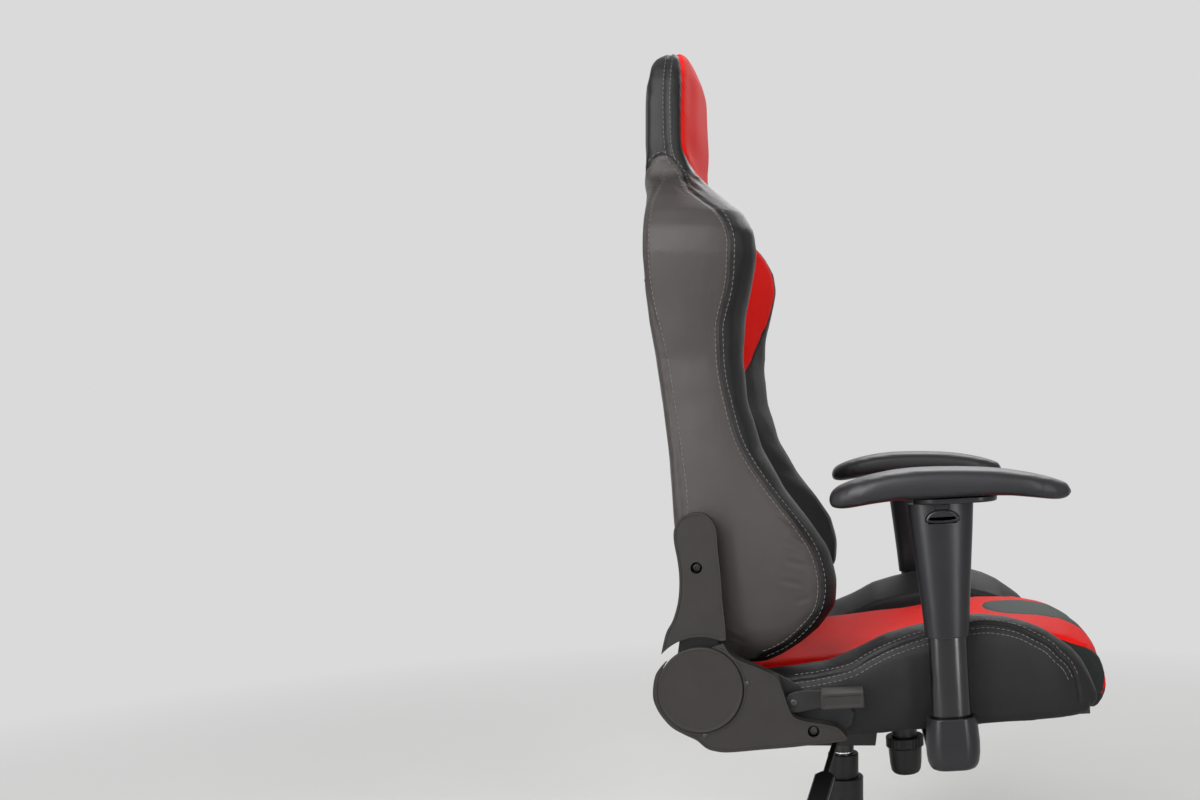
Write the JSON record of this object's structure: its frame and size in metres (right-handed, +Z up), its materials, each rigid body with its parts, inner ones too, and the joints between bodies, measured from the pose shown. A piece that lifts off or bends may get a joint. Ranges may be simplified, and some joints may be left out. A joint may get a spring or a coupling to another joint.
{
  "type": "gaming chair",
  "caption": "Gaming chair with a reclining winged back, bolstered rocking seat, height-adjustable armrests, gas lift and a caster base.",
  "frame": {"origin": "on the floor, under the middle of the bounding box", "axes": "+X forward, the way the sitter looks; +Y to the sitter's left; +Z up"},
  "size_m": [0.5948, 0.662, 1.2407],
  "materials": {
    "black_nylon": "moulded black nylon, satin",
    "wheel_nylon": "moulded black wheels",
    "cover_plastic": "fine-grained dark grey cover",
    "arm_plastic": "satin dark grey plastic",
    "armrest_skin": "soft polyurethane pad with a fine grain",
    "black_steel": "black powder coat",
    "plated_steel": "zinc-plated steel",
    "chrome": "polished chrome",
    "black_leather": "black synthetic leather",
    "side_leather": "dark grey synthetic leather side panels",
    "red_leather": "red synthetic leather"
  },
  "bodies": {
    "base": {"base_star": "black_nylon", "lift_column": "black_steel", "lift_cover_wide": "black_nylon"},
    "cover_middle": {"lift_cover_middle": "black_nylon"},
    "cover_narrow": {"lift_cover_narrow": "black_nylon"},
    "piston": {"lift_piston_rod": "plated_steel"},
    "mechanism": {"lift_chrome_tube": "chrome", "mechanism_housing": "black_steel", "rock_pin": "plated_steel", "rock_spring": "plated_steel"},
    "valve": {"lift_valve_button": "plated_steel"},
    "height_lever": {"height_lever": "black_steel"},
    "seat": {"seat_plate": "black_steel", "seat_frame": "black_steel", "seat_cushion": "red_leather", "seat_bolster_right": "black_leather", "seat_bolster_left": "black_leather", "seat_bracket_right": "black_steel", "seat_bracket_left": "black_steel", "lower_cover_right": "cover_plastic", "lower_cover_left": "cover_plastic", "hinge_cap_right": "cover_plastic", "hinge_cap_left": "cover_plastic", "armrest_bracket_right": "black_steel", "armrest_bracket_left": "black_steel", "armrest_boot_right": "arm_plastic", "armrest_boot_left": "arm_plastic"},
    "knob": {"tension_knob": "black_nylon"},
    "recline_lever": {"recline_lever": "cover_plastic"},
    "back": {"back_frame": "black_steel", "back_cushion": "black_leather", "back_cover": "black_leather", "head_cushion": "red_leather", "back_wing_right": "side_leather", "back_wing_left": "side_leather", "back_bracket_right": "black_steel", "back_bracket_left": "black_steel", "upper_cover_right": "cover_plastic", "upper_cover_left": "cover_plastic"},
    "armrest_right": {"armrest_sleeve_right": "arm_plastic", "armrest_pad_right": "armrest_skin"},
    "button_right": {"armrest_button_right": "arm_plastic"},
    "armrest_left": {"armrest_sleeve_left": "arm_plastic", "armrest_pad_left": "armrest_skin"},
    "button_left": {"armrest_button_left": "arm_plastic"},
    "caster_1": {"caster_hood_1": "black_nylon"},
    "wheel_1_a": {"caster_wheel_1_a": "wheel_nylon"},
    "wheel_1_b": {"caster_wheel_1_b": "wheel_nylon"},
    "caster_2": {"caster_hood_2": "black_nylon"},
    "wheel_2_a": {"caster_wheel_2_a": "wheel_nylon"},
    "wheel_2_b": {"caster_wheel_2_b": "wheel_nylon"},
    "caster_3": {"caster_hood_3": "black_nylon"},
    "wheel_3_a": {"caster_wheel_3_a": "wheel_nylon"},
    "wheel_3_b": {"caster_wheel_3_b": "wheel_nylon"},
    "caster_4": {"caster_hood_4": "black_nylon"},
    "wheel_4_a": {"caster_wheel_4_a": "wheel_nylon"},
    "wheel_4_b": {"caster_wheel_4_b": "wheel_nylon"},
    "caster_5": {"caster_hood_5": "black_nylon"},
    "wheel_5_a": {"caster_wheel_5_a": "wheel_nylon"},
    "wheel_5_b": {"caster_wheel_5_b": "wheel_nylon"}
  },
  "joints": [
    {"name": "seat_swivel", "type": "hinge", "parent": "base", "child": "piston", "pos_m": [-0.03603, 0, 0.1], "axis": [0, 0, 1], "continuous": true},
    {"name": "seat_height", "type": "slide", "parent": "piston", "child": "mechanism", "axis": [0, 0, 1], "range_m": [-0.07, 0]},
    {"name": "cover_narrow_drop", "type": "slide", "parent": "base", "child": "cover_narrow", "axis": [0, 0, 1], "range_m": [-0.0561, 0]},
    {"name": "cover_middle_drop", "type": "slide", "parent": "base", "child": "cover_middle", "axis": [0, 0, 1], "range_m": [-0.0281, 0]},
    {"name": "height_lever_lift", "type": "hinge", "parent": "mechanism", "child": "height_lever", "pos_m": [-0.03603, -0.0455, 0.3889], "axis": [-1, 0, 0], "range_deg": [0, 4], "stiffness_Nm_per_rad": 8, "springref_deg": -5.73},
    {"name": "valve_press", "type": "slide", "parent": "mechanism", "child": "valve", "axis": [0, 0, 1], "range_m": [-0.0032, 0]},
    {"name": "seat_rock", "type": "hinge", "parent": "mechanism", "child": "seat", "pos_m": [-0.01103, 0, 0.384], "axis": [0, -1, 0], "range_deg": [0, 12], "stiffness_Nm_per_rad": 160, "springref_deg": -20.05, "deforming": ["rock_spring"]},
    {"name": "tension_knob_turn", "type": "hinge", "parent": "seat", "child": "knob", "pos_m": [0.04731, 0, 0.32425], "axis": [-0.0523, 0, 0.9986], "range_deg": [0, 1080]},
    {"name": "recline_lever_pull", "type": "hinge", "parent": "seat", "child": "recline_lever", "pos_m": [-0.09268, -0.2717, 0.4541], "axis": [0, -1, 0], "range_deg": [0, 25], "stiffness_Nm_per_rad": 1.2, "springref_deg": -17.19},
    {"name": "back_recline", "type": "hinge", "parent": "seat", "child": "back", "pos_m": [-0.19569, 0, 0.47073], "axis": [0, -1, 0], "range_deg": [0, 78]},
    {"name": "armrest_right_height", "type": "slide", "parent": "seat", "child": "armrest_right", "axis": [-0.0523, 0, 0.9986], "range_m": [-0.07, 0]},
    {"name": "armrest_right_button_press", "type": "slide", "parent": "armrest_right", "child": "button_right", "axis": [0, 1, 0], "range_m": [0, 0.003], "stiffness_N_per_m": 800, "springref_m": -0.002},
    {"name": "armrest_left_height", "type": "slide", "parent": "seat", "child": "armrest_left", "axis": [-0.0523, 0, 0.9986], "range_m": [-0.07, 0]},
    {"name": "armrest_left_button_press", "type": "slide", "parent": "armrest_left", "child": "button_left", "axis": [0, -1, 0], "range_m": [0, 0.003], "stiffness_N_per_m": 800, "springref_m": -0.002},
    {"name": "caster_1_swivel", "type": "hinge", "parent": "base", "child": "caster_1", "pos_m": [0.25397, 0, 0.08], "axis": [0, 0, 1], "continuous": true},
    {"name": "wheel_1_a_roll", "type": "hinge", "parent": "caster_1", "child": "wheel_1_a", "pos_m": [0.23397, 0, 0.02942], "axis": [0, 1, 0], "continuous": true},
    {"name": "wheel_1_b_roll", "type": "hinge", "parent": "caster_1", "child": "wheel_1_b", "pos_m": [0.23397, 0, 0.02942], "axis": [0, 1, 0], "continuous": true},
    {"name": "caster_2_swivel", "type": "hinge", "parent": "base", "child": "caster_2", "pos_m": [0.05358, 0.27581, 0.08], "axis": [0, 0, 1], "continuous": true},
    {"name": "wheel_2_a_roll", "type": "hinge", "parent": "caster_2", "child": "wheel_2_a", "pos_m": [0.0474, 0.25678, 0.02942], "axis": [-0.9511, 0.309, 0], "continuous": true},
    {"name": "wheel_2_b_roll", "type": "hinge", "parent": "caster_2", "child": "wheel_2_b", "pos_m": [0.0474, 0.25678, 0.02942], "axis": [-0.9511, 0.309, 0], "continuous": true},
    {"name": "caster_3_swivel", "type": "hinge", "parent": "base", "child": "caster_3", "pos_m": [-0.27065, 0.17046, 0.08], "axis": [0, 0, 1], "continuous": true},
    {"name": "wheel_3_a_roll", "type": "hinge", "parent": "caster_3", "child": "wheel_3_a", "pos_m": [-0.25447, 0.1587, 0.02942], "axis": [-0.5878, -0.809, 0], "continuous": true},
    {"name": "wheel_3_b_roll", "type": "hinge", "parent": "caster_3", "child": "wheel_3_b", "pos_m": [-0.25447, 0.1587, 0.02942], "axis": [-0.5878, -0.809, 0], "continuous": true},
    {"name": "caster_4_swivel", "type": "hinge", "parent": "base", "child": "caster_4", "pos_m": [-0.27065, -0.17046, 0.08], "axis": [0, 0, 1], "continuous": true},
    {"name": "wheel_4_a_roll", "type": "hinge", "parent": "caster_4", "child": "wheel_4_a", "pos_m": [-0.25447, -0.1587, 0.02942], "axis": [0.5878, -0.809, 0], "continuous": true},
    {"name": "wheel_4_b_roll", "type": "hinge", "parent": "caster_4", "child": "wheel_4_b", "pos_m": [-0.25447, -0.1587, 0.02942], "axis": [0.5878, -0.809, 0], "continuous": true},
    {"name": "caster_5_swivel", "type": "hinge", "parent": "base", "child": "caster_5", "pos_m": [0.05358, -0.27581, 0.08], "axis": [0, 0, 1], "continuous": true},
    {"name": "wheel_5_a_roll", "type": "hinge", "parent": "caster_5", "child": "wheel_5_a", "pos_m": [0.0474, -0.25678, 0.02942], "axis": [0.9511, 0.309, 0], "continuous": true},
    {"name": "wheel_5_b_roll", "type": "hinge", "parent": "caster_5", "child": "wheel_5_b", "pos_m": [0.0474, -0.25678, 0.02942], "axis": [0.9511, 0.309, 0], "continuous": true}
  ],
  "couplings": [
    {"joint": "cover_narrow_drop", "follows": "seat_height", "ratio": 0.8},
    {"joint": "cover_middle_drop", "follows": "seat_height", "ratio": 0.4},
    {"joint": "valve_press", "follows": "height_lever_lift", "m_per_rad": -0.045}
  ]
}
